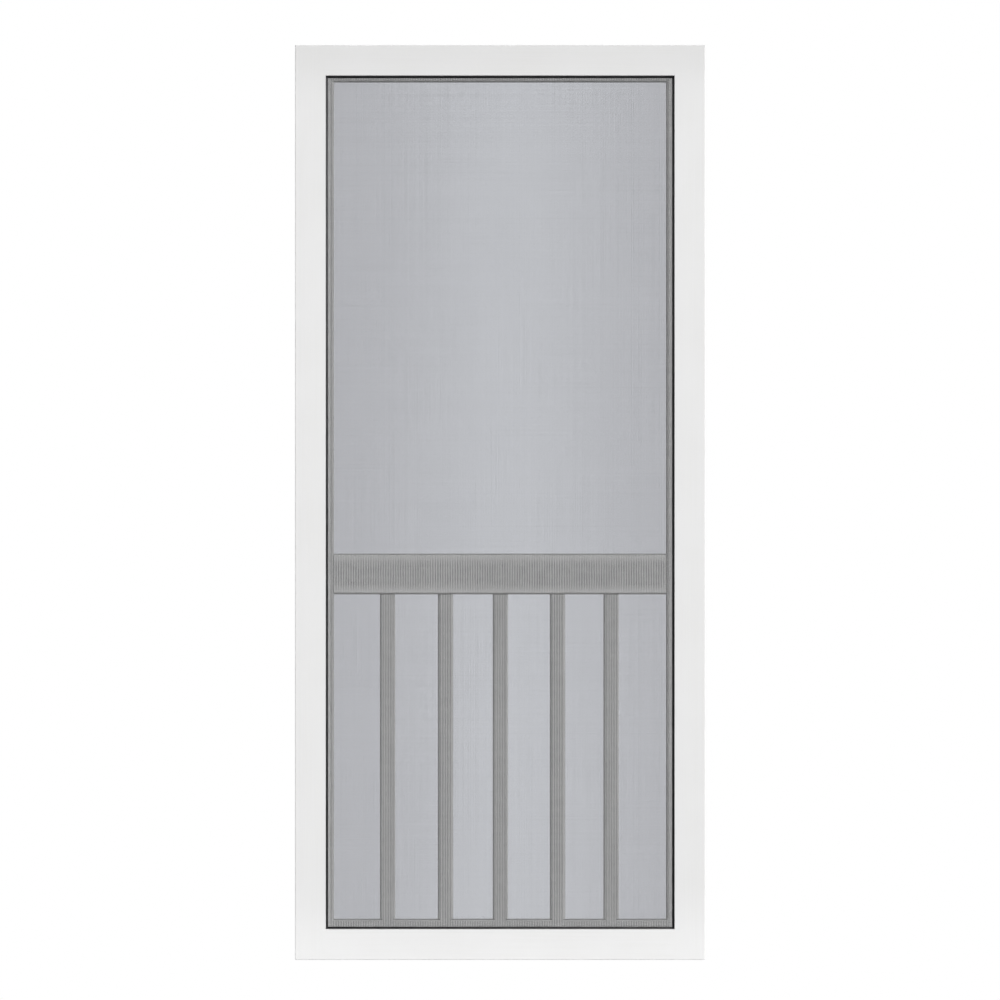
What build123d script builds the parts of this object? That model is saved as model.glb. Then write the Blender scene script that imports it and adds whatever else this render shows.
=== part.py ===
"""A vinyl screen door leaf: a hollow vinyl frame with a mid rail and five bars behind one insect screen.

The leaf stands upright. X runs across it from the hinge edge, Y runs through it with the screened
front facing -Y, and Z runs up it. The origin is on the flat hinge edge, at the foot of the leaf and
in the middle of its thickness. All sizes are in millimetres.
"""
from build123d import *
import os

# Leaf
leaf_width = 908
leaf_height = 2026
leaf_thickness = 25.4

# Hollow vinyl section of the stiles and the end rails
face_width = 67.6
vinyl_wall = 3.2
outer_edge_radius = 1.5
lip_edge_radius = 0.8

# Tongue: the thinner ledge inside the face, which the screen lies on, narrow at the head, wide at the foot
side_tongue_width = 18.4
head_tongue_width = 13.8
foot_tongue_width = 22
tongue_thickness = 12.7
tongue_edge_radius = 5

# Groove in the front of the tongue, beside the face
groove_width = 5.5
groove_depth = 5.5

# Spline cord that holds the screen's edge in the groove
spline_diameter = 4.7
spline_clearance = 0.1

# Screen sheet, as a plain grid of strands in place of its fine mesh
screen_thickness = 0.6
screen_tuck_depth = 4.5
screen_strand_width = 5
screen_holes_across = 12
screen_holes_up = 12

# Mid rail
mid_rail_height = 90
mid_rail_foot_level = 809.3
mid_rail_edge_radius = 5

# Bars between the bottom rail and the mid rail, and how far each stands off the even spacing
bar_count = 5
bar_width = 34
bar_edge_radius = 5
bar_drift = [-3.8, 1.7, 0.5, 4.8, 0.9]

# Plugs that close the open ends of the stiles
plug_depth = 12
plug_recess = 0.5
plug_edge_radius = 0.6

# Places across the leaf and up it that follow from the sizes above
opening_left = face_width
opening_right = leaf_width - face_width
opening_foot = face_width
opening_head = leaf_height - face_width
clear_left = opening_left + side_tongue_width
clear_right = opening_right - side_tongue_width
clear_foot = opening_foot + foot_tongue_width
clear_head = opening_head - head_tongue_width
ledge_left = opening_left + groove_width
ledge_right = opening_right - groove_width
ledge_foot = opening_foot + groove_width
ledge_head = opening_head - groove_width
screen_left = ledge_left - screen_thickness
screen_right = ledge_right + screen_thickness
screen_foot = ledge_foot - screen_thickness
screen_head = ledge_head + screen_thickness

# Half thicknesses, measured both ways from the middle of the leaf
face_half = leaf_thickness / 2
tongue_half = tongue_thickness / 2
face_chamber_half = face_half - vinyl_wall
tongue_chamber_half = tongue_half - vinyl_wall

# Bars are spread evenly over the clear width, then moved by their own drift
bar_pitch = (clear_right - clear_left) / (bar_count + 1)
bar_places = [
    clear_left + bar_pitch * (number + 1) + bar_drift[number % len(bar_drift)]
    for number in range(bar_count)
]

# The groove holds the tucked edge of the screen against its inner wall, and the spline in the rest
spline_radius = spline_diameter / 2
spline_inset = (groove_width - screen_thickness) / 2
spline_level = -tongue_half + groove_depth - spline_clearance - spline_radius


def save(name, piece):
    """Label one finished piece and write it to its own file."""
    piece.label = name
    export_step(piece, f"parts/{name}.step")


def upright(left, foot, right, head, mode=Mode.ADD):
    """Draw a rectangle on an upright plane, between two places across the leaf and two levels."""
    with Locations(((left + right) / 2, (foot + head) / 2)):
        Rectangle(right - left, head - foot, mode=mode)


def round_front_and_back(block, radius, inner):
    """Round the front and back edges of a rectangular ring, around its hole or around its outside."""
    for side in (0, -1):
        face = block.faces().sort_by(Axis.Y)[side]
        wire = face.inner_wires()[0] if inner else face.outer_wire()
        fillet(wire.edges(), radius)


def frame_member(face, tongue, face_chamber, tongue_chamber):
    """Cut one stile or rail out of the frame block and hollow it, from (left, foot, right, head) spans."""
    with BuildPart() as member:
        with BuildSketch(Plane.XZ):
            upright(*face)
            upright(*tongue)
        extrude(amount=face_half, both=True)
        add(frame_block.part, mode=Mode.INTERSECT)
        with BuildSketch(Plane.XZ):
            upright(*face_chamber)
        extrude(amount=face_chamber_half, both=True, mode=Mode.SUBTRACT)
        with BuildSketch(Plane.XZ):
            upright(*tongue_chamber)
        extrude(amount=tongue_chamber_half, both=True, mode=Mode.SUBTRACT)
    return member.part


def end_plug(chamber_left, foot, outer_side):
    """Make one end plug that fills a stile's chamber, with the edges of its outer side eased."""
    chamber_width = face_width - 2 * vinyl_wall
    with BuildPart() as plug:
        with BuildSketch(Plane.XY.offset(foot)):
            with Locations((chamber_left + chamber_width / 2, 0)):
                Rectangle(chamber_width, 2 * face_chamber_half)
        extrude(amount=plug_depth)
        fillet(plug.faces().sort_by(Axis.Z)[outer_side].edges(), plug_edge_radius)
    return plug.part


os.makedirs("parts", exist_ok=True)

# The frame as one block, from which its four members are cut with square butt joints
with BuildPart() as tongue_block:
    with BuildSketch(Plane.XZ):
        upright(opening_left, opening_foot, opening_right, opening_head)
        upright(clear_left, clear_foot, clear_right, clear_head, mode=Mode.SUBTRACT)
    extrude(amount=tongue_half, both=True)
    round_front_and_back(tongue_block, tongue_edge_radius, inner=True)

with BuildPart() as frame_block:
    with BuildSketch(Plane.XZ):
        upright(0, 0, leaf_width, leaf_height)
        upright(opening_left, opening_foot, opening_right, opening_head, mode=Mode.SUBTRACT)
    extrude(amount=face_half, both=True)
    round_front_and_back(frame_block, outer_edge_radius, inner=False)
    round_front_and_back(frame_block, lip_edge_radius, inner=True)
    add(tongue_block.part)
    with BuildSketch(Plane.XZ.offset(tongue_half)):
        upright(opening_left, opening_foot, opening_right, opening_head)
        upright(ledge_left, ledge_foot, ledge_right, ledge_head, mode=Mode.SUBTRACT)
    extrude(amount=-groove_depth, mode=Mode.SUBTRACT)

# Stiles run the full height of the leaf, with open ends
with BuildPart() as hinge_stile:
    add(
        frame_member(
            face=(0, 0, opening_left, leaf_height),
            tongue=(opening_left, opening_foot, clear_left, opening_head),
            face_chamber=(vinyl_wall, 0, opening_left - vinyl_wall, leaf_height),
            tongue_chamber=(ledge_left + vinyl_wall, clear_foot, clear_left - vinyl_wall, clear_head),
        )
    )
save("hinge_stile", hinge_stile.part)

with BuildPart() as latch_stile:
    add(
        frame_member(
            face=(opening_right, 0, leaf_width, leaf_height),
            tongue=(clear_right, opening_foot, opening_right, opening_head),
            face_chamber=(opening_right + vinyl_wall, 0, leaf_width - vinyl_wall, leaf_height),
            tongue_chamber=(clear_right + vinyl_wall, clear_foot, ledge_right - vinyl_wall, clear_head),
        )
    )
save("latch_stile", latch_stile.part)

# Rails fit between the stiles
with BuildPart() as top_rail:
    add(
        frame_member(
            face=(opening_left, opening_head, opening_right, leaf_height),
            tongue=(clear_left, clear_head, clear_right, opening_head),
            face_chamber=(opening_left, opening_head + vinyl_wall, opening_right, leaf_height - vinyl_wall),
            tongue_chamber=(clear_left, clear_head + vinyl_wall, clear_right, ledge_head - vinyl_wall),
        )
    )
save("top_rail", top_rail.part)

# The bottom rail keeps its rounded ledge between the bars, and a square seat under each bar
with BuildPart() as bottom_rail:
    add(
        frame_member(
            face=(opening_left, 0, opening_right, opening_foot),
            tongue=(clear_left, opening_foot, clear_right, clear_foot),
            face_chamber=(opening_left, vinyl_wall, opening_right, opening_foot - vinyl_wall),
            tongue_chamber=(clear_left, ledge_foot + vinyl_wall, clear_right, clear_foot - vinyl_wall),
        )
    )
    bar_flat_half = bar_width / 2 - bar_edge_radius
    with BuildSketch(Plane.XZ):
        for place in bar_places:
            upright(
                place - bar_flat_half,
                clear_foot - tongue_edge_radius,
                place + bar_flat_half,
                clear_foot,
            )
    extrude(amount=tongue_half, both=True)
save("bottom_rail", bottom_rail.part)

# The mid rail is as thick as the tongue and fits between the tongues of the stiles
with BuildPart() as mid_rail:
    with BuildSketch(Plane.YZ.offset(clear_left)):
        with Locations((0, mid_rail_foot_level + mid_rail_height / 2)):
            RectangleRounded(tongue_thickness, mid_rail_height, mid_rail_edge_radius)
            Rectangle(
                tongue_thickness - 2 * vinyl_wall,
                mid_rail_height - 2 * vinyl_wall,
                mode=Mode.SUBTRACT,
            )
    extrude(amount=clear_right - clear_left)
save("mid_rail", mid_rail.part)

# Bars are hollow too, and stand between the bottom rail and the mid rail
for number, place in enumerate(bar_places, start=1):
    with BuildPart() as bar:
        with BuildSketch(Plane.XY.offset(clear_foot)):
            with Locations((place, 0)):
                RectangleRounded(bar_width, tongue_thickness, bar_edge_radius)
                Rectangle(
                    bar_width - 2 * vinyl_wall,
                    tongue_thickness - 2 * vinyl_wall,
                    mode=Mode.SUBTRACT,
                )
        extrude(amount=mid_rail_foot_level - clear_foot)
    save(f"bar_{number}", bar.part)

# One flat sheet of screen lies over the ledge, the mid rail and the bars
with BuildPart() as screen:
    hole_pitch_across = (screen_right - screen_left - screen_strand_width) / screen_holes_across
    hole_pitch_up = (screen_head - screen_foot - screen_strand_width) / screen_holes_up
    with BuildSketch(Plane.XZ.offset(tongue_half)):
        upright(screen_left, screen_foot, screen_right, screen_head)
        with Locations(((screen_left + screen_right) / 2, (screen_foot + screen_head) / 2)):
            with GridLocations(hole_pitch_across, hole_pitch_up, screen_holes_across, screen_holes_up):
                Rectangle(
                    hole_pitch_across - screen_strand_width,
                    hole_pitch_up - screen_strand_width,
                    mode=Mode.SUBTRACT,
                )
    extrude(amount=screen_thickness)
save("screen", screen.part)

# Its edge is tucked into the groove all round, flat against the groove's inner wall
with BuildPart() as screen_tucked_edge:
    with BuildSketch(Plane.XZ.offset(tongue_half)):
        upright(screen_left, screen_foot, screen_right, screen_head)
        upright(ledge_left, ledge_foot, ledge_right, ledge_head, mode=Mode.SUBTRACT)
    extrude(amount=-screen_tuck_depth)
save("screen_tucked_edge", screen_tucked_edge.part)

# Spline: the side runs fill the groove's height, and the end runs fit between them
for name, place in (
    ("spline_left", opening_left + spline_inset),
    ("spline_right", opening_right - spline_inset),
):
    with BuildPart() as side_spline:
        with BuildSketch(Plane.XY.offset(opening_foot + spline_clearance)):
            with Locations((place, spline_level)):
                Circle(spline_radius)
        extrude(amount=opening_head - opening_foot - 2 * spline_clearance)
    save(name, side_spline.part)

end_spline_left = opening_left + 2 * spline_inset + spline_clearance
end_spline_right = opening_right - 2 * spline_inset - spline_clearance
for name, level in (
    ("spline_top", opening_head - spline_inset),
    ("spline_bottom", opening_foot + spline_inset),
):
    with BuildPart() as end_spline:
        with BuildSketch(Plane.YZ.offset(end_spline_left)):
            with Locations((spline_level, level)):
                Circle(spline_radius)
        extrude(amount=end_spline_right - end_spline_left)
    save(name, end_spline.part)

# Plugs close the ends of both stiles, a little below the cut
for stile_name, chamber_left in (
    ("hinge_stile", vinyl_wall),
    ("latch_stile", opening_right + vinyl_wall),
):
    save(f"{stile_name}_foot_plug", end_plug(chamber_left, plug_recess, outer_side=0))
    head_plug_foot = leaf_height - plug_recess - plug_depth
    save(f"{stile_name}_head_plug", end_plug(chamber_left, head_plug_foot, outer_side=-1))
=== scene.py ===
# %% [markdown]
# # A vinyl screen door leaf
#
# The leaf is a white frame of hollow vinyl with a mid rail and five bars, and one charcoal insect screen
# that lies in front of the rail and the bars. The solid model already holds every vinyl piece at its real
# size, so this lesson keeps those pieces and gives them their finish. Two things are modelled here: the
# screen, thread by thread, because a plain sheet can't show what lies behind it, and the ribbed cord that
# holds it in its groove.

import math

import bmesh
import bpy
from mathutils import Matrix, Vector


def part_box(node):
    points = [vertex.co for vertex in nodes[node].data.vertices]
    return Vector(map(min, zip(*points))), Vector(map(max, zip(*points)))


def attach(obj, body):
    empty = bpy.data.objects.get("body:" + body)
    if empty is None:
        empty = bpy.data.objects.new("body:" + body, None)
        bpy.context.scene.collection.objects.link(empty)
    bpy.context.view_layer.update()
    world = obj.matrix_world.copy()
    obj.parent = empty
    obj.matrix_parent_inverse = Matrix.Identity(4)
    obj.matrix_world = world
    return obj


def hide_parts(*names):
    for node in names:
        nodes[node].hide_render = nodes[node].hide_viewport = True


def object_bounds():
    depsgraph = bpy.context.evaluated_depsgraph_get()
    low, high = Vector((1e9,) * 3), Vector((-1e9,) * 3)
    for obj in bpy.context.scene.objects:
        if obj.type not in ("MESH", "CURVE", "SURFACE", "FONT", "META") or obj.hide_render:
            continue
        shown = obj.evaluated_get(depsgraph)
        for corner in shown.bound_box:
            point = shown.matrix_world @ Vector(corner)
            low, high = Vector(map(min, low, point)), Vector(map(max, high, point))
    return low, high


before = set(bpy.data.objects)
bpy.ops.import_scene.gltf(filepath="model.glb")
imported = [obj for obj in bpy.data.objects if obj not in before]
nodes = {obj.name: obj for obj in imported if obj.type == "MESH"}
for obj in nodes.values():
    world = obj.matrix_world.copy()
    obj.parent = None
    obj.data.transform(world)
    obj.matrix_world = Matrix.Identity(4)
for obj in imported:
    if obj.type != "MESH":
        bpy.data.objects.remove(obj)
cad_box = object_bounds()
print("solid pieces:", len(nodes), "box:", [tuple(round(c, 4) for c in corner) for corner in cad_box])

# %% [markdown]
# Every length below comes from the solid model. The screen's sheet gives the plane that the threads lie
# in, and the spline cords give the groove. A few helpers keep the steps short: one deselects everything,
# because an operator acts on all that is selected, and one picks faces or edges by a rule while a mesh is
# in edit mode.

# %% Helpers for modelling by hand
MM = 0.001


def start_fresh():
    """Leave edit mode and deselect everything, so that the next operator acts on its own piece alone."""
    if bpy.context.object and bpy.context.object.mode != "OBJECT":
        bpy.ops.object.mode_set(mode="OBJECT")
    bpy.ops.object.select_all(action="DESELECT")


def pick(kind, rule):
    """In edit mode, select only the faces or edges that a rule accepts, and say how many there were."""
    mesh = bmesh.from_edit_mesh(bpy.context.object.data)
    bpy.context.tool_settings.mesh_select_mode = (False, kind == "edges", kind == "faces")
    for part in (mesh.verts, mesh.edges, mesh.faces):
        for element in part:
            element.select_set(False)
    picked = [element for element in getattr(mesh, kind) if rule(element)]
    for element in picked:
        element.select_set(True)
    mesh.select_flush_mode()
    bmesh.update_edit_mesh(bpy.context.object.data)
    return len(picked)


def apply_modifiers(piece):
    """Apply every modifier of the active piece, first to last."""
    for modifier in list(piece.modifiers):
        bpy.ops.object.modifier_apply(modifier=modifier.name)


def settle(piece, name):
    """Name a finished piece and bring its place into its mesh, so that its object sits at the origin."""
    piece.name = name
    piece.data.name = name
    bpy.ops.object.transform_apply(location=True, rotation=True, scale=True)
    print(name, "faces:", len(piece.data.polygons))


# %% [markdown]
# The photograph looks straight at the middle of the leaf. Its sides are upright and its edges show next to
# no depth, so it was taken from far off with a long lens. The camera looks along +Y. A 120 mm lens on a
# 36 mm film takes in 0.3 m of width for each metre of distance, which gives the distance from the leaf's
# height in the picture.

# %% Camera
PHOTO_SIDE = 1000
LEAF_LEFT_PX, LEAF_RIGHT_PX = 295, 705.1
LEAF_HEAD_PX, LEAF_FOOT_PX = 45, 959.9
LENS_MM, FILM_MM = 120, 36

leaf_low, leaf_high = cad_box
leaf_middle = (leaf_low + leaf_high) / 2
metres_per_px = (leaf_high.z - leaf_low.z) / (LEAF_FOOT_PX - LEAF_HEAD_PX)
camera_distance = metres_per_px * PHOTO_SIDE * LENS_MM / FILM_MM
photo_middle_x = leaf_middle.x + (PHOTO_SIDE - LEAF_LEFT_PX - LEAF_RIGHT_PX) / 2 * metres_per_px
photo_middle_z = leaf_middle.z + (LEAF_HEAD_PX + LEAF_FOOT_PX - PHOTO_SIDE) / 2 * metres_per_px
camera_place = Vector((photo_middle_x, leaf_low.y - camera_distance, photo_middle_z))
start_fresh()
bpy.ops.object.camera_add(location=camera_place, rotation=(math.radians(90), 0, 0))
camera = bpy.context.object
camera.data.lens = LENS_MM
camera.data.sensor_width = FILM_MM
bpy.context.scene.camera = camera
bpy.context.scene.view_settings.view_transform = "Standard"
print("camera:", [round(c, 3) for c in camera_place], "distance:", round(camera_distance, 3))

# %% [markdown]
# The leaf stands in a white studio with a soft light from the upper right. White vinyl on white would
# lose its edges if light came from everywhere, so the room that lights the leaf is dim, and only what the
# camera sees straight on is white. Behind the opening hangs a pale blue-grey paper: it is part of the
# world, a soft-edged patch of directions that ends behind the stiles, and it gives the screen its cool
# tone. Its blue-grey is partly its own tone and partly painted shade, the backdrop dimmed behind the leaf.
# A painted pool of light makes it brightest just right of the middle, and painted light makes it a trace
# brighter below the rail.

# %% World
ROOM_TOP = (0.20, 0.20, 0.21)
ROOM_FOOT = (0.11, 0.11, 0.11)
ROOM_FROM, ROOM_TO = -0.6, 0.8
LEAST_AHEAD = 0.001
PAPER_MIDDLE = (0.790, 0.808, 0.852)
PAPER_SIDE = (0.682, 0.692, 0.732)
PAPER_PAINTED_LIGHT_PEAK = 0.025
PAPER_FOOT_PAINTED_LIGHT = 0.015


def node(tree, kind, place, **settings):
    """Add one node to a tree, at a place, with its settings."""
    made = tree.nodes.new(kind)
    made.location = place
    for key, value in settings.items():
        setattr(made, key, value)
    return made


def math_node(tree, operation, place, first, second=None, third=None):
    """Add a maths node whose inputs are sockets or plain numbers, and return its output."""
    made = node(tree, "ShaderNodeMath", place, operation=operation)
    for socket, value in zip(made.inputs, (first, second, third)):
        if value is None:
            continue
        if isinstance(value, (int, float)):
            socket.default_value = value
        else:
            tree.links.new(value, socket)
    return made.outputs[0]


def blend_range(tree, value, place, low, high, to_low=0.0, to_high=1.0):
    """Map a value smoothly from one range onto another."""
    made = node(tree, "ShaderNodeMapRange", place, interpolation_type="SMOOTHSTEP")
    tree.links.new(value, made.inputs["Value"])
    for name, number in (("From Min", low), ("From Max", high), ("To Min", to_low), ("To Max", to_high)):
        made.inputs[name].default_value = number
    return made.outputs["Result"]


def mix_colours(tree, factor, place, first, second):
    """Mix two colours, each a socket or a plain colour."""
    made = node(tree, "ShaderNodeMix", place, data_type="RGBA")
    tree.links.new(factor, made.inputs["Factor"])
    for socket, value in ((made.inputs[6], first), (made.inputs[7], second)):
        if isinstance(value, tuple):
            socket.default_value = (*value, 1)
        else:
            tree.links.new(value, socket)
    return made.outputs[2]


paper_middle = (leaf_middle - camera_place) / camera_distance
paper_reach = (leaf_high - leaf_low) / 2 / camera_distance
paper_inner = (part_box("spline_right")[1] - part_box("spline_left")[0]) / 2 / camera_distance

world = bpy.data.worlds.new("white_studio")
bpy.context.scene.world = world
world.use_nodes = True
sky = world.node_tree
sky.nodes.clear()
direction = node(sky, "ShaderNodeTexCoord", (-1400, 0)).outputs["Generated"]
parts = node(sky, "ShaderNodeSeparateXYZ", (-1200, 0))
sky.links.new(direction, parts.inputs[0])
ahead = math_node(sky, "MAXIMUM", (-1000, -200), parts.outputs["Y"], LEAST_AHEAD)
across = math_node(sky, "DIVIDE", (-800, 200), parts.outputs["X"], ahead)
upward = math_node(sky, "DIVIDE", (-800, -100), parts.outputs["Z"], ahead)
off_middle = math_node(sky, "SUBTRACT", (-700, 0), upward, paper_middle.z)
across_size = math_node(sky, "ABSOLUTE", (-600, 200), across)
upward_size = math_node(sky, "ABSOLUTE", (-600, -100), off_middle)
# Painted shade: the paper patch behind the leaf, dimmer than the white around it.
in_width = blend_range(sky, across_size, (-400, 200), paper_inner.x, paper_reach.x, 1, 0)
in_height = blend_range(sky, upward_size, (-400, -100), paper_inner.z, paper_reach.z, 1, 0)
on_paper = math_node(sky, "MULTIPLY", (-200, 100), in_width, in_height)
# Painted pool of light: the paper is brightest just right of the middle.
off_peak = math_node(sky, "SUBTRACT", (-600, 450), across, PAPER_PAINTED_LIGHT_PEAK / camera_distance)
off_peak_size = math_node(sky, "ABSOLUTE", (-450, 450), off_peak)
to_side = blend_range(sky, off_peak_size, (-300, 450), 0.0, paper_inner.x)
painted_paper_colour = mix_colours(sky, to_side, (-100, 450), PAPER_MIDDLE, PAPER_SIDE)
seen_colour = mix_colours(sky, on_paper, (100, 250), (1.0, 1.0, 1.0), painted_paper_colour)
height_share = blend_range(sky, parts.outputs["Z"], (-400, -400), ROOM_FROM, ROOM_TO)
room_colour = mix_colours(sky, height_share, (-100, -300), ROOM_FOOT, ROOM_TOP)
is_seen = node(sky, "ShaderNodeLightPath", (100, 600)).outputs["Is Camera Ray"]
sky_colour = mix_colours(sky, is_seen, (350, 100), room_colour, seen_colour)
# Painted light: the paper is a trace brighter below the rail.
rail_low, rail_high = ((corner - camera_place) / camera_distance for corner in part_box("mid_rail"))
low_share = blend_range(sky, upward, (-400, 700), rail_low.z, rail_high.z, 1, 0)
low_on_paper = math_node(sky, "MULTIPLY", (100, 400), low_share, on_paper)
low_seen = math_node(sky, "MULTIPLY", (300, 400), low_on_paper, is_seen)
background = node(sky, "ShaderNodeBackground", (550, 100))
sky.links.new(sky_colour, background.inputs["Color"])
gain = math_node(sky, "MULTIPLY_ADD", (400, 300), low_seen, PAPER_FOOT_PAINTED_LIGHT, 1.0)
sky.links.new(gain, background.inputs["Strength"])
sky.links.new(background.outputs[0], node(sky, "ShaderNodeOutputWorld", (750, 100)).inputs["Surface"])
print("paper around:", round(paper_middle.z, 3), "reach:", [round(c, 3) for c in paper_reach])

# %% [markdown]
# Four soft lights do the work. The key comes from the right and a little above, so edges that turn left or
# down go dark and edges that turn right stay bright, which is what draws the rail and the bars in the
# photograph. A wide fill comes from beside the camera and lifts the faces. A rim light picks out the right
# edges of the bars. A back light, turned to the left, shows the leaf's other side and its left edge, which
# the front view can't see. Sun lamps act like big softboxes far away: they fall on the whole height of the
# leaf alike.

# %% Soft lights
KEY = {"strength": 2.30, "width": 24, "from_right": 46, "from_above": 20}
FILL = {"strength": 1.10, "width": 50, "from_right": 8, "from_above": 26}
RIM = {"strength": 1.25, "width": 30, "from_right": 125, "from_above": 15}
BACK = {"strength": 2.1, "width": 50, "from_right": 208, "from_above": 24}


def soft_light(name, strength, width, from_right, from_above):
    """Add one sun lamp that shines at the leaf from so many degrees round to the right and above."""
    start_fresh()
    bpy.ops.object.light_add(type="SUN", location=camera_place)
    lamp = bpy.context.object
    lamp.name = name
    lamp.data.energy = strength
    lamp.data.angle = math.radians(width)
    lamp.rotation_euler = (math.radians(90 - from_above), 0, math.radians(from_right))
    print(name, "turned:", [round(math.degrees(a)) for a in lamp.rotation_euler])


soft_light("soft_key", **KEY)
soft_light("soft_fill", **FILL)
soft_light("soft_rim", **RIM)
soft_light("soft_back", **BACK)

# %% [markdown]
# The floor is a pale sheet under the leaf. It runs forward past the camera but only a step behind the leaf,
# so the opening shows the paper and not the floor. The camera sees it white, while to the leaf it is a dim
# floor, or it would light every lower edge.

# %% Floor
FLOOR_GAP = 2 * MM
FLOOR_BEHIND = 0.5
FLOOR_AHEAD = 9.0
FLOOR_SIDE = 4.5
FLOOR_DIM = (0.3, 0.3, 0.3)

start_fresh()
bpy.ops.mesh.primitive_plane_add(size=1, location=(
    leaf_middle.x, (FLOOR_BEHIND - FLOOR_AHEAD) / 2, leaf_low.z - FLOOR_GAP))
floor = bpy.context.object
bpy.ops.object.mode_set(mode="EDIT")
bpy.ops.transform.resize(value=(2 * FLOOR_SIDE, FLOOR_BEHIND + FLOOR_AHEAD, 1))
bpy.ops.object.mode_set(mode="OBJECT")
settle(floor, "pale_floor")

floor_finish = bpy.data.materials.new("pale_floor")
floor_finish.use_nodes = True
tree = floor_finish.node_tree
tree.nodes.clear()
dim = node(tree, "ShaderNodeBsdfDiffuse", (0, -200))
dim.inputs["Color"].default_value = (*FLOOR_DIM, 1)
pale = node(tree, "ShaderNodeEmission", (0, 100))
choice = node(tree, "ShaderNodeMixShader", (400, 0))
tree.links.new(node(tree, "ShaderNodeLightPath", (200, 400)).outputs["Is Camera Ray"], choice.inputs[0])
tree.links.new(dim.outputs[0], choice.inputs[1])
tree.links.new(pale.outputs[0], choice.inputs[2])
tree.links.new(choice.outputs[0], node(tree, "ShaderNodeOutputMaterial", (600, 0)).inputs["Surface"])
floor.data.materials.append(floor_finish)

# %% [markdown]
# Extruded vinyl isn't quite smooth. The die leaves faint lines along the length, and the wall sinks and
# swells a little as it cools. Both run through every section of the leaf, so they are one node group: it
# takes a vector whose Z runs along the section, and gives a height for the Bump node and a mask that
# varies the shine and the white.

# %% Node group: die lines
LINE_DRAW_OUT = 0.012
DIE_MASK_FROM, DIE_MASK_TO = 0.12, 0.42


def new_group(name, inputs, outputs):
    """Make a shader node group with named sockets, and return it with its input and output nodes."""
    group = bpy.data.node_groups.new(name, "ShaderNodeTree")
    for label, kind, default in inputs:
        socket = group.interface.new_socket(name=label, in_out="INPUT", socket_type=kind)
        if default is not None:
            socket.default_value = default
    for label, kind in outputs:
        group.interface.new_socket(name=label, in_out="OUTPUT", socket_type=kind)
    return group, node(group, "NodeGroupInput", (-1000, 0)), node(group, "NodeGroupOutput", (600, 0))


die_lines, given, wanted = new_group(
    "die_lines",
    [
        ("Vector", "NodeSocketVector", None),
        ("Lines per metre", "NodeSocketFloat", 420.0),
        ("Waves per metre", "NodeSocketFloat", 9.0),
        ("Line share", "NodeSocketFloat", 0.35),
    ],
    [("Height", "NodeSocketFloat"), ("Mask", "NodeSocketFloat")],
)
stretch = node(die_lines, "ShaderNodeVectorMath", (-800, 200), operation="MULTIPLY")
stretch.inputs[1].default_value = (1, 1, LINE_DRAW_OUT)
die_lines.links.new(given.outputs["Vector"], stretch.inputs[0])
line_noise = node(die_lines, "ShaderNodeTexNoise", (-600, 200))
line_noise.inputs["Detail"].default_value = 3
die_lines.links.new(stretch.outputs[0], line_noise.inputs["Vector"])
die_lines.links.new(given.outputs["Lines per metre"], line_noise.inputs["Scale"])
wave_noise = node(die_lines, "ShaderNodeTexNoise", (-600, -100))
wave_noise.inputs["Detail"].default_value = 1
die_lines.links.new(given.outputs["Vector"], wave_noise.inputs["Vector"])
die_lines.links.new(given.outputs["Waves per metre"], wave_noise.inputs["Scale"])
line_part = math_node(
    die_lines, "MULTIPLY", (-300, 200), line_noise.outputs["Fac"], given.outputs["Line share"])
height = math_node(die_lines, "ADD", (-100, 100), line_part, wave_noise.outputs["Fac"])
die_lines.links.new(height, wanted.inputs["Height"])
mask = math_node(die_lines, "MULTIPLY", (-100, -100), line_noise.outputs["Fac"], wave_noise.outputs["Fac"])
die_mask = blend_range(die_lines, mask, (100, -100), DIE_MASK_FROM, DIE_MASK_TO)
die_lines.links.new(die_mask, wanted.inputs["Mask"])
print("group:", die_lines.name, [s.name for s in die_lines.interface.items_tree])

# %% [markdown]
# Handling and storage leave a little dust on any surface, more in some places than in others. A second
# group gives that mask, as broad soft clouds broken up by fine specks. The vinyl, the cord and the threads
# all use it with their own values.

# %% Node group: dust
CLOUD_FROM, CLOUD_TO = 0.38, 0.68
SPECK_FROM, SPECK_TO, SPECK_LEAST = 0.45, 0.75, 0.4

dust, given, wanted = new_group(
    "dust",
    [
        ("Vector", "NodeSocketVector", None),
        ("Clouds per metre", "NodeSocketFloat", 5.0),
        ("Specks per metre", "NodeSocketFloat", 900.0),
        ("Amount", "NodeSocketFloat", 0.2),
    ],
    [("Mask", "NodeSocketFloat")],
)
clouds = node(dust, "ShaderNodeTexNoise", (-600, 100))
clouds.inputs["Detail"].default_value = 4
specks = node(dust, "ShaderNodeTexNoise", (-600, -200))
specks.inputs["Detail"].default_value = 2
for noise, label in ((clouds, "Clouds per metre"), (specks, "Specks per metre")):
    dust.links.new(given.outputs["Vector"], noise.inputs["Vector"])
    dust.links.new(given.outputs[label], noise.inputs["Scale"])
cloud_mask = blend_range(dust, clouds.outputs["Fac"], (-350, 100), CLOUD_FROM, CLOUD_TO)
speck_mask = blend_range(dust, specks.outputs["Fac"], (-350, -200), SPECK_FROM, SPECK_TO, SPECK_LEAST)
both = math_node(dust, "MULTIPLY", (-100, 0), cloud_mask, speck_mask)
dust.links.new(math_node(dust, "MULTIPLY", (100, 0), both, given.outputs["Amount"]), wanted.inputs["Mask"])
print("group:", dust.name, [s.name for s in dust.interface.items_tree])
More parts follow.
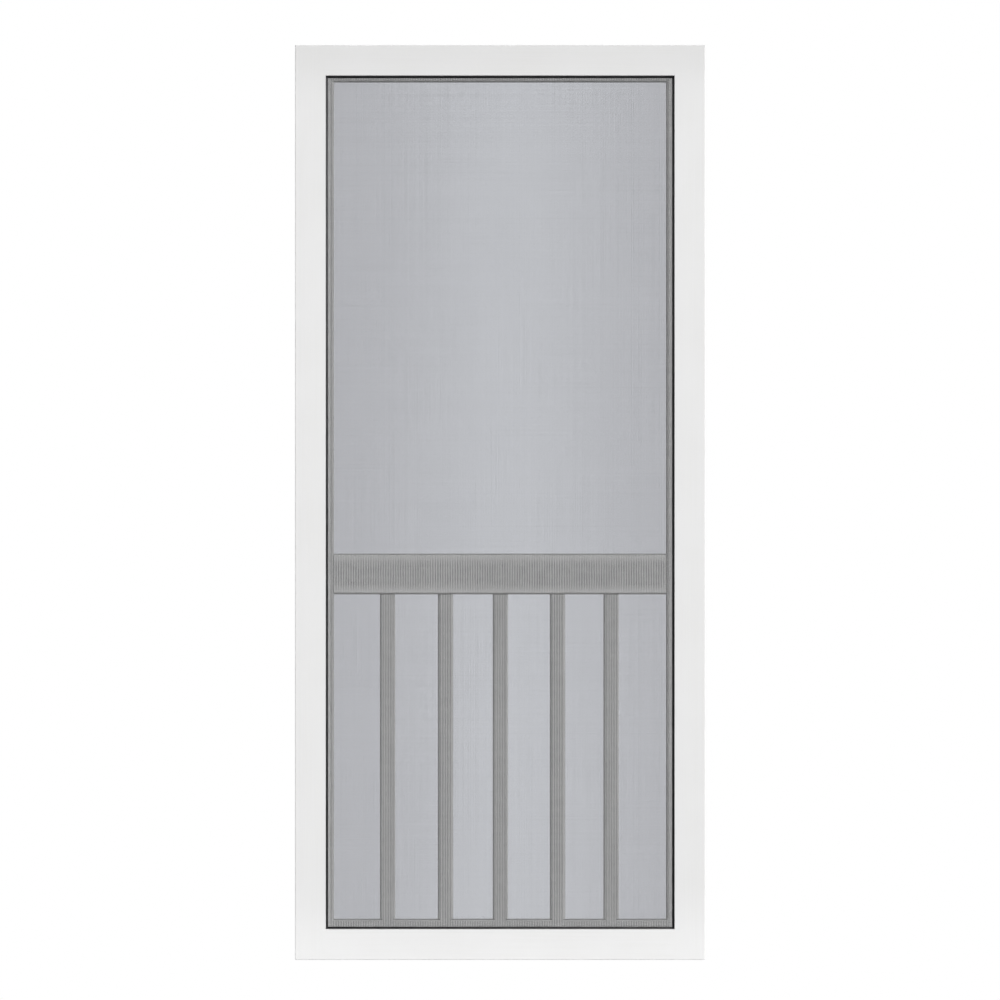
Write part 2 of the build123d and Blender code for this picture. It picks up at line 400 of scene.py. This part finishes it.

# %% [markdown]
# The screen lies against the front of the ledge, the rail and the bars, and its threads cast fine upright
# lines of shade on the white behind. The third group paints that shade as a mask. It is nought everywhere
# but in the plane where the screen rests, inside the opening, and there it is even upright lines a few
# millimetres apart, from a Wave texture, which a stretched noise breaks up into dashes. Behind the screen,
# all that faces up is darker, as painted shade. The group gives it as a second mask, from the face's normal.

# %% Node group: painted shade behind the screen
sheet_low, sheet_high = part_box("screen")
sheet_middle = (sheet_low + sheet_high) / 2
rest_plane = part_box("mid_rail")[0].y
REST_SLACK = 0.1 * MM
LINE_PITCH = 5.5 * MM
WAVE_TURNS = 20
LINE_BEND = 0.6
LINE_FROM, LINE_TO, LINE_LEAST = 0.15, 0.85, 0.1
DASHES_ACROSS = 45
DASHES_UP = 62
DASH_FROM, DASH_TO, DASH_LEAST = 0.36, 0.62, 0.8
UPWARD_SHADE_FROM, UPWARD_SHADE_FULL = 0.6, 0.85

screen_shade_lines, given, wanted = new_group(
    "screen_shade_lines",
    [("Vector", "NodeSocketVector", None), ("Amount", "NodeSocketFloat", 0.4)],
    [("Mask", "NodeSocketFloat"), ("Painted shade up", "NodeSocketFloat")],
)
axes = node(screen_shade_lines, "ShaderNodeSeparateXYZ", (-800, 300))
screen_shade_lines.links.new(given.outputs["Vector"], axes.inputs[0])
in_plane = math_node(screen_shade_lines, "COMPARE", (-600, 400), axes.outputs["Y"], rest_plane, REST_SLACK)
in_width = math_node(
    screen_shade_lines, "COMPARE", (-600, 250), axes.outputs["X"], sheet_middle.x, (sheet_high - sheet_low).x / 2)
in_height = math_node(
    screen_shade_lines, "COMPARE", (-600, 100), axes.outputs["Z"], sheet_middle.z, (sheet_high - sheet_low).z / 2)
under_sheet = math_node(screen_shade_lines, "MULTIPLY", (-400, 300), in_width, in_height)
touched = math_node(screen_shade_lines, "MULTIPLY", (-200, 300), under_sheet, in_plane)
# Painted shade: upright lines of the screen's shadow on the white.
lines = node(screen_shade_lines, "ShaderNodeTexWave", (-600, -100), wave_type="BANDS", bands_direction="X")
lines.inputs["Scale"].default_value = 2 * math.pi / (WAVE_TURNS * LINE_PITCH)
lines.inputs["Distortion"].default_value = LINE_BEND
lines.inputs["Detail"].default_value = 0
screen_shade_lines.links.new(given.outputs["Vector"], lines.inputs["Vector"])
draw_out = node(screen_shade_lines, "ShaderNodeVectorMath", (-800, -400), operation="MULTIPLY")
draw_out.inputs[1].default_value = (DASHES_ACROSS, 0, DASHES_UP)
screen_shade_lines.links.new(given.outputs["Vector"], draw_out.inputs[0])
dashes = node(screen_shade_lines, "ShaderNodeTexNoise", (-600, -400))
dashes.inputs["Scale"].default_value = 1
dashes.inputs["Detail"].default_value = 1
screen_shade_lines.links.new(draw_out.outputs[0], dashes.inputs["Vector"])
line_mask = blend_range(screen_shade_lines, lines.outputs["Fac"], (-350, -100), LINE_FROM, LINE_TO, LINE_LEAST)
dash_mask = blend_range(screen_shade_lines, dashes.outputs["Fac"], (-350, -400), DASH_FROM, DASH_TO, DASH_LEAST)
line_dash_mask = math_node(screen_shade_lines, "MULTIPLY", (-150, -200), line_mask, dash_mask)
shaded_lines = math_node(screen_shade_lines, "MULTIPLY", (0, 100), line_dash_mask, touched)
screen_shade_lines.links.new(
    math_node(screen_shade_lines, "MULTIPLY", (200, 100), shaded_lines, given.outputs["Amount"]), wanted.inputs["Mask"])
# Painted shade: all that faces up behind the screen is darkened.
geometry = node(screen_shade_lines, "ShaderNodeNewGeometry", (-800, 700))
facing = node(screen_shade_lines, "ShaderNodeSeparateXYZ", (-600, 700))
screen_shade_lines.links.new(geometry.outputs["Normal"], facing.inputs[0])
facing_up = blend_range(screen_shade_lines, facing.outputs["Z"], (-400, 700), UPWARD_SHADE_FROM, UPWARD_SHADE_FULL)
upward_shade = math_node(screen_shade_lines, "MULTIPLY", (200, 500), facing_up, under_sheet)
screen_shade_lines.links.new(upward_shade, wanted.inputs["Painted shade up"])
print("group:", screen_shade_lines.name, [s.name for s in screen_shade_lines.interface.items_tree])

# %% [markdown]
# Each vinyl finish is a Principled shader fed by the three groups. The die lines run up the stiles and bars,
# and across the rails, where a Mapping node turns the pattern, so one function makes every finish. The white
# isn't the same all over: painted shade makes the leaf a little greyer at its head and painted light makes
# it brighter at its foot, so each finish blends from one white to the next with height, and the corner
# joints hardly show. On the mid rail the screen's painted shade is strongest in the middle of the face, and
# it fades to its edges, which stay lighter.

# %% White vinyl
# Painted shade makes the head greyer and painted light makes the foot brighter.
HEAD_SHADED_WHITE = (0.757, 0.757, 0.752)
SIDE_WHITE = (0.820, 0.820, 0.815)
FOOT_LIT_WHITE = (0.893, 0.893, 0.888)
RAIL_WHITE = (0.88, 0.88, 0.875)
PLUG_WHITE = (0.80, 0.80, 0.79)
WARM_WHITE, WARM_SHARE = (0.60, 0.58, 0.52), 0.06
DUST_TONE, DUST_AMOUNT = (0.60, 0.59, 0.57), 0.10
# Grey of the painted shade that the screen's threads cast in fine upright lines.
SCREEN_SHADE_GREY = (0.33, 0.33, 0.33)
# Grey of the painted shade on all that faces up behind the screen.
UPWARD_SHADE_GREY = (0.36, 0.36, 0.355)
HEAD_SHADE_BLEND = 0.15
FOOT_LIGHT_BLEND = 0.18
BUMP_STRENGTH, BUMP_HEIGHT = 0.35, 0.4 * MM
SHINE, PLUG_SHINE = (0.42, 0.54), (0.5, 0.6)
SPECULAR = 0.35
SCREEN_SHADE_AMOUNT = 0.66
# Painted shade on the mid rail: strongest in the middle of its face, none at its edges, which stay lighter.
RAIL_SHADE_MIDDLE, RAIL_SHADE_EDGE = 0.78, 0.0
MIDDLE_SHADE_FROM = 0.4


def vinyl(name, white, lying=False, shine=SHINE, shaded_middle=None):
    """A white vinyl: its die lines run up the piece, or across it when lying, and its middle may carry more
    painted shade.
    """
    finish = bpy.data.materials.new(name)
    finish.use_nodes = True
    tree = finish.node_tree
    shader = tree.nodes["Principled BSDF"]
    place = node(tree, "ShaderNodeTexCoord", (-1500, 0)).outputs["Object"]
    turn = node(tree, "ShaderNodeMapping", (-1300, 0))
    turn.inputs["Rotation"].default_value = (0, math.radians(90) if lying else 0, 0)
    tree.links.new(place, turn.inputs["Vector"])
    split = node(tree, "ShaderNodeSeparateXYZ", (-1300, 500))
    tree.links.new(place, split.inputs[0])
    level = split.outputs["Z"]
    # Painted shade at the head and painted light at the foot.
    head_shade_share = blend_range(tree, level, (-1100, 500), leaf_high.z - HEAD_SHADE_BLEND, leaf_high.z)
    foot_light_share = blend_range(tree, level, (-1100, 700), leaf_low.z, leaf_low.z + FOOT_LIGHT_BLEND, 1, 0)
    head_shaded_white = mix_colours(tree, head_shade_share, (-900, 500), white, HEAD_SHADED_WHITE)
    toned = mix_colours(tree, foot_light_share, (-750, 500), head_shaded_white, FOOT_LIT_WHITE)
    lines = node(tree, "ShaderNodeGroup", (-1000, 150), node_tree=die_lines)
    dirt = node(tree, "ShaderNodeGroup", (-1000, -150), node_tree=dust)
    dirt.inputs["Amount"].default_value = DUST_AMOUNT
    tree.links.new(turn.outputs[0], lines.inputs["Vector"])
    tree.links.new(place, dirt.inputs["Vector"])
    warm_share = math_node(tree, "MULTIPLY", (-800, 250), lines.outputs["Mask"], WARM_SHARE)
    tint = mix_colours(tree, warm_share, (-600, 300), toned, WARM_WHITE)
    dusty = mix_colours(tree, dirt.outputs["Mask"], (-450, 200), tint, DUST_TONE)
    screen_shade_node = node(tree, "ShaderNodeGroup", (-600, 600), node_tree=screen_shade_lines)
    screen_shade_node.inputs["Amount"].default_value = SCREEN_SHADE_AMOUNT
    tree.links.new(place, screen_shade_node.inputs["Vector"])
    # Painted shade: more of the screen's shade in the middle of the rail's face, fading to none at its
    # edges.
    if shaded_middle:
        low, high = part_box(shaded_middle)
        off_middle = math_node(tree, "SUBTRACT", (-1100, 900), level, (low.z + high.z) / 2)
        off_size = math_node(tree, "ABSOLUTE", (-950, 900), off_middle)
        half = (high.z - low.z) / 2
        middle_shade = blend_range(
            tree, off_size, (-800, 900), MIDDLE_SHADE_FROM * half, half, RAIL_SHADE_MIDDLE, RAIL_SHADE_EDGE)
        tree.links.new(middle_shade, screen_shade_node.inputs["Amount"])
    # Painted shade of the screen's threads on the white, as fine upright lines.
    screen_shaded_white = mix_colours(tree, screen_shade_node.outputs["Mask"], (-300, 300), dusty, SCREEN_SHADE_GREY)
    # Painted shade on all that faces up behind the screen.
    upward_shaded_white = mix_colours(tree, screen_shade_node.outputs["Painted shade up"], (-150, 300), screen_shaded_white, UPWARD_SHADE_GREY)
    tree.links.new(upward_shaded_white, shader.inputs["Base Color"])
    roughness = blend_range(tree, lines.outputs["Mask"], (-550, -100), 0, 1, *shine)
    tree.links.new(roughness, shader.inputs["Roughness"])
    bump = node(tree, "ShaderNodeBump", (-300, -250))
    bump.inputs["Strength"].default_value = BUMP_STRENGTH
    bump.inputs["Distance"].default_value = BUMP_HEIGHT
    tree.links.new(lines.outputs["Height"], bump.inputs["Height"])
    tree.links.new(bump.outputs[0], shader.inputs["Normal"])
    shader.inputs["Specular IOR Level"].default_value = SPECULAR
    return finish


def dress(finish, *names):
    """Give a finish to solid pieces by name."""
    for name in names:
        slots = nodes[name].data.materials
        slots.clear()
        slots.append(finish)


stile_vinyl = vinyl("stile_vinyl", SIDE_WHITE)
bar_vinyl = vinyl("bar_vinyl", SIDE_WHITE)
end_rail_vinyl = vinyl("end_rail_vinyl", SIDE_WHITE, lying=True)
mid_rail_vinyl = vinyl("mid_rail_vinyl", RAIL_WHITE, lying=True, shaded_middle="mid_rail")
plug_vinyl = vinyl("plug_vinyl", PLUG_WHITE, shine=PLUG_SHINE)
dress(stile_vinyl, "hinge_stile", "latch_stile")
dress(bar_vinyl, *(name for name in nodes if name.startswith("bar_")))
dress(end_rail_vinyl, "top_rail", "bottom_rail")
dress(mid_rail_vinyl, "mid_rail")
dress(plug_vinyl, *(name for name in nodes if name.endswith("_plug")))
print("vinyl on:", sorted(name for name, piece in nodes.items() if "vinyl" in piece.data.materials[0].name))

# %% [markdown]
# The screen is woven glass fibre with a charcoal coat, 18 threads to the inch across and 16 up. A picture
# of a weave on a sheet would show nothing through its holes, so every thread is real: a thin six-sided
# rod, cut into a few lengths and turned down into the groove at both ends. One upright thread and one level
# thread are modelled by hand, and Array modifiers lay out the rest. The loom's comb draws the upright
# threads in fours, so each four stand a little closer together. The coat joins the threads where they cross,
# so they run straight and share a little depth instead of going over and under.

# %% Screen threads
INCH = 25.4 * MM
THREADS_ACROSS = 18
THREADS_UP = 16
THREAD_SIDES = 6
THREAD_THICKNESS = 0.37 * MM
TURN_STEPS = 1
TUCK_DEPTH = 3.0 * MM
CUTS_UP, CUTS_ACROSS = 5, 2
UNEVEN = 0.05 * MM
COMB_GROUP = 4
COMB_CLOSING = 0.05
END_FACING = 0.9
UNEVEN_SEED = 4

sheet_edge = rest_plane - sheet_low.y
ledge_low = sheet_low + Vector((sheet_edge, 0, sheet_edge))
ledge_high = sheet_high - Vector((sheet_edge, 0, sheet_edge))
thread_half = THREAD_THICKNESS / 2


def turn_down(end_rule, pivot, axis):
    """In edit mode, turn one end of a thread over the ledge's edge and run it down into the groove."""
    pick("faces", end_rule)
    bpy.ops.mesh.spin(steps=TURN_STEPS, angle=math.radians(90), center=pivot, axis=axis)
    bpy.ops.mesh.extrude_region_move(TRANSFORM_OT_translate={"value": (0, TUCK_DEPTH, 0)})


def copy_beside(threads, name, count, step):
    """Lay out copies of the threads, each one step beside the last."""
    rows = threads.modifiers.new(name, "ARRAY")
    rows.count = count
    rows.use_relative_offset = False
    rows.use_constant_offset = True
    rows.constant_offset_displace = step


def lay_threads(name, upright, pitch, depth, group, closing, cuts):
    """Model one thread by hand, copy it into a group, and lay out the groups over the ledge."""
    span = (ledge_high.z - ledge_low.z) if upright else (ledge_high.x - ledge_low.x)
    width = (ledge_high.x - ledge_low.x) if upright else (ledge_high.z - ledge_low.z)
    groups = int(width / pitch / group)
    inner_pitch = pitch * (1 - closing)
    middle = (ledge_low + ledge_high) / 2
    off = ((groups - 1) * group * pitch + (group - 1) * inner_pitch) / 2
    centre = (middle.x - off, depth, middle.z) if upright else (middle.x, depth, middle.z - off)
    start_fresh()
    bpy.ops.mesh.primitive_cylinder_add(
        vertices=THREAD_SIDES,
        radius=thread_half,
        depth=span,
        location=centre,
        rotation=(0, 0 if upright else math.radians(90), 0),
    )
    threads = bpy.context.object
    settle(threads, name)
    bpy.ops.object.mode_set(mode="EDIT")
    along = Vector((0, 0, 1)) if upright else Vector((1, 0, 0))
    side = Vector((-1, 0, 0)) if upright else Vector((0, 0, 1))
    for way in (1, -1):
        end = Vector(centre) + along * way * span / 2
        pivot = Vector((end.x, rest_plane, end.z))
        turn_down(lambda face: face.normal.dot(along) * way > END_FACING, pivot, side * way)
    pick("edges", lambda edge: edge.calc_length() > span / 2)
    bpy.ops.mesh.subdivide(number_cuts=cuts)
    bpy.ops.mesh.select_all(action="SELECT")
    bpy.ops.mesh.normals_make_consistent(inside=False)
    bpy.ops.object.mode_set(mode="OBJECT")
    beside = Vector((1, 0, 0)) if upright else Vector((0, 0, 1))
    copy_beside(threads, "threads", group, beside * inner_pitch)
    copy_beside(threads, "groups", groups, beside * group * pitch)
    apply_modifiers(threads)
    print(name, "threads:", groups * group)
    return threads


warp = lay_threads(
    "warp", True, INCH / THREADS_ACROSS, rest_plane - thread_half, COMB_GROUP, COMB_CLOSING, CUTS_UP)
weft = lay_threads(
    "weft", False, INCH / THREADS_UP, sheet_low.y + thread_half, 1, 0, CUTS_ACROSS)

# %% [markdown]
# The two sets become one piece, as they are one cloth. A small random move of every corner makes each
# length of thread swell or thin a little, which gives a real screen its faint linen look.

# %% Join the threads
start_fresh()
warp.select_set(True)
weft.select_set(True)
bpy.context.view_layer.objects.active = warp
bpy.ops.object.join()
screen = bpy.context.object
bpy.ops.object.mode_set(mode="EDIT")
bpy.ops.mesh.select_all(action="SELECT")
bpy.ops.transform.vertex_random(offset=UNEVEN, seed=UNEVEN_SEED)
bpy.ops.object.mode_set(mode="OBJECT")
settle(screen, "insect_screen")
screen_triangles = sum(len(face.vertices) - 2 for face in screen.data.polygons)
print("screen triangles:", screen_triangles)

# %% [markdown]
# The coat of the threads is a soft charcoal with a slight sheen. Slubs, where the glass is a little fuller
# or dustier, run along a thread for a hand's breadth. The mesh is fine, so the slubs are only a change of
# tone, from noise that is stretched both ways.

# %% Charcoal thread finish
CHARCOAL, SLUB_GREY = (0.030, 0.031, 0.034), (0.085, 0.087, 0.092)
THREAD_DUST, THREAD_DUST_AMOUNT = (0.20, 0.20, 0.195), 0.25
THREAD_SHINE = (0.42, 0.6)
SLUB_UP, SLUB_ACROSS = (700, 1, 6), (6, 1, 620)
SLUB_FROM, SLUB_TO = 0.7, 1.3

thread_finish = bpy.data.materials.new("charcoal_thread")
thread_finish.use_nodes = True
tree = thread_finish.node_tree
shader = tree.nodes["Principled BSDF"]
place = node(tree, "ShaderNodeTexCoord", (-1300, 0)).outputs["Object"]
slubs = []
for number, stretch_by in enumerate((SLUB_UP, SLUB_ACROSS)):
    turn = node(tree, "ShaderNodeMapping", (-1100, 300 - 300 * number))
    turn.inputs["Scale"].default_value = stretch_by
    tree.links.new(place, turn.inputs["Vector"])
    noise = node(tree, "ShaderNodeTexNoise", (-850, 300 - 300 * number))
    noise.inputs["Scale"].default_value = 1
    noise.inputs["Detail"].default_value = 2
    tree.links.new(turn.outputs[0], noise.inputs["Vector"])
    slubs.append(noise.outputs["Fac"])
slub = math_node(tree, "ADD", (-600, 200), *slubs)
slub_mask = blend_range(tree, slub, (-450, 200), SLUB_FROM, SLUB_TO)
dirt = node(tree, "ShaderNodeGroup", (-600, -200), node_tree=dust)
dirt.inputs["Amount"].default_value = THREAD_DUST_AMOUNT
tree.links.new(place, dirt.inputs["Vector"])
charcoal = mix_colours(tree, slub_mask, (-300, 200), CHARCOAL, SLUB_GREY)
dusty = mix_colours(tree, dirt.outputs["Mask"], (-150, 100), charcoal, THREAD_DUST)
tree.links.new(dusty, shader.inputs["Base Color"])
tree.links.new(blend_range(tree, slub_mask, (-300, -200), 0, 1, *THREAD_SHINE), shader.inputs["Roughness"])
screen.data.materials.clear()
screen.data.materials.append(thread_finish)
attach(screen, "root")
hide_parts("screen", "screen_tucked_edge")

# %% [markdown]
# The spline is a black vinyl cord that a roller presses into the groove over the screen's edge. It is
# round with small ribs along it, which grip the groove. It starts as a cylinder with twice as many sides
# as ribs, and every second edge is drawn in towards the middle.

# %% Ribbed spline
RIBS = 10
RIB_DRAW = 0.86
ALONG_CORD = 0.99
RIB_ROUNDING = 0.15 * MM
RIB_CORNER, SMOOTH_UNDER = math.radians(12), math.radians(50)
CORD_BLACK, CORD_DUST = (0.014, 0.014, 0.016), (0.10, 0.10, 0.10)
CORD_DUST_AMOUNT = 0.35
CORD_CLOUDS = 22
CORD_SHINE = (0.3, 0.55)


def ribbed_cord(name):
    """Model one straight run of spline over the solid cord of that name."""
    low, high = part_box(name)
    size = high - low
    centre = (low + high) / 2
    upright = size.z > size.x
    start_fresh()
    bpy.ops.mesh.primitive_cylinder_add(
        vertices=2 * RIBS,
        radius=size.y / 2,
        depth=max(size.x, size.z),
        location=centre,
        rotation=(0, 0 if upright else math.radians(90), 0),
    )
    cord = bpy.context.object
    settle(cord, f"{name}_cord")
    bpy.ops.object.mode_set(mode="EDIT")
    along = Vector((0, 0, 1)) if upright else Vector((1, 0, 0))
    long_edges = []

    def every_second(edge):
        way = edge.verts[1].co - edge.verts[0].co
        if abs(way.normalized().dot(along)) < ALONG_CORD:
            return False
        off = edge.verts[0].co - centre
        turn = math.atan2(off.y, off.x if upright else off.z)
        long_edges.append(edge)
        return round(turn / math.pi * RIBS) % 2 == 0

    count = pick("edges", every_second)
    squeeze = (RIB_DRAW, RIB_DRAW, 1) if upright else (1, RIB_DRAW, RIB_DRAW)
    bpy.ops.transform.resize(value=squeeze, center_override=centre)
    bpy.ops.object.mode_set(mode="OBJECT")
    rounding = cord.modifiers.new("soft_ribs", "BEVEL")
    rounding.width = RIB_ROUNDING
    rounding.segments = 2
    rounding.limit_method = "ANGLE"
    rounding.angle_limit = RIB_CORNER
    apply_modifiers(cord)
    bpy.ops.object.shade_smooth_by_angle(angle=SMOOTH_UNDER)
    print(name, "ribs:", count, "of", len(long_edges))
    return cord


cord_finish = bpy.data.materials.new("spline_cord")
cord_finish.use_nodes = True
tree = cord_finish.node_tree
shader = tree.nodes["Principled BSDF"]
place = node(tree, "ShaderNodeTexCoord", (-900, 0)).outputs["Object"]
dirt = node(tree, "ShaderNodeGroup", (-650, 0), node_tree=dust)
dirt.inputs["Amount"].default_value = CORD_DUST_AMOUNT
dirt.inputs["Clouds per metre"].default_value = CORD_CLOUDS
tree.links.new(place, dirt.inputs["Vector"])
black = mix_colours(tree, dirt.outputs["Mask"], (-350, 100), CORD_BLACK, CORD_DUST)
tree.links.new(black, shader.inputs["Base Color"])
dull = blend_range(tree, dirt.outputs["Mask"], (-350, -100), 0, CORD_DUST_AMOUNT, *CORD_SHINE)
tree.links.new(dull, shader.inputs["Roughness"])
for name in sorted(name for name in nodes if name.startswith("spline_")):
    cord = ribbed_cord(name)
    cord.data.materials.clear()
    cord.data.materials.append(cord_finish)
    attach(cord, "root")
    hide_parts(name)
